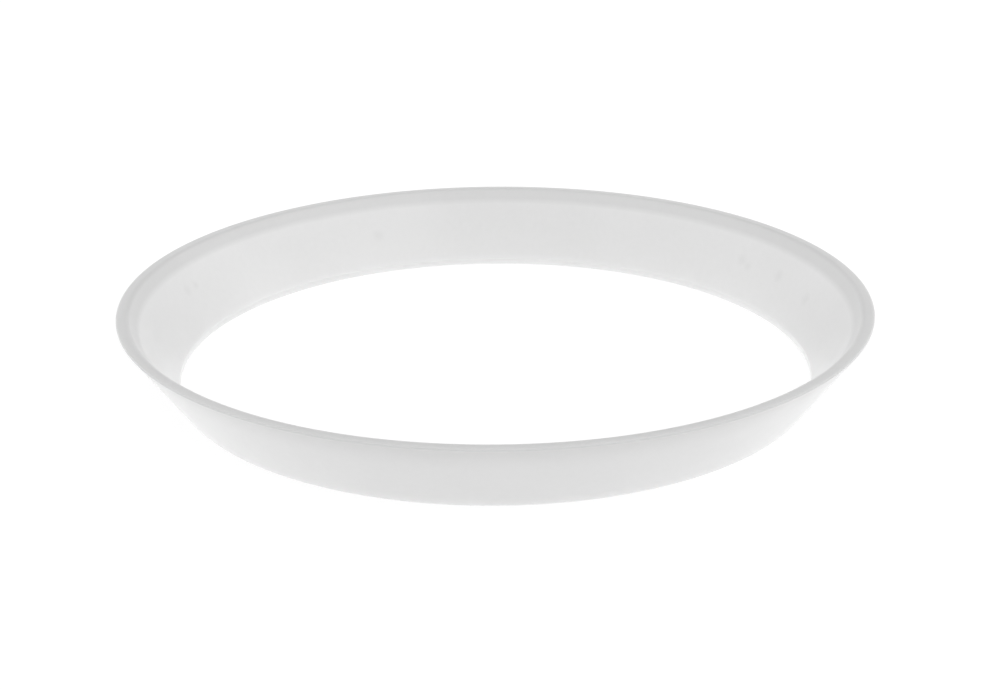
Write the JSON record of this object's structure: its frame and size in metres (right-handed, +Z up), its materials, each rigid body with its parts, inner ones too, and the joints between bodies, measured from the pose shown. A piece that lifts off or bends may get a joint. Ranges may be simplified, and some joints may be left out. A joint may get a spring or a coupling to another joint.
{
  "type": "tapered ring hoop",
  "caption": "Endless one-piece tapered ring hoop in white plastic: a thin conical band, wide at the top, narrow at the foot, open right through, with a soft inner lip at the wide rim.",
  "frame": {"origin": "on the ring's axis, in the plane of the narrow edge that it stands on", "axes": "+Z up along the ring's axis, from the narrow foot to the wide rim; the ring is a surface of revolution, so +X and +Y are any two perpendicular radii"},
  "size_m": [0.3, 0.3, 0.0314],
  "materials": {
    "ring_plastic": "satin"
  },
  "bodies": {
    "root": {"ring": "ring_plastic"}
  },
  "joints": []
}
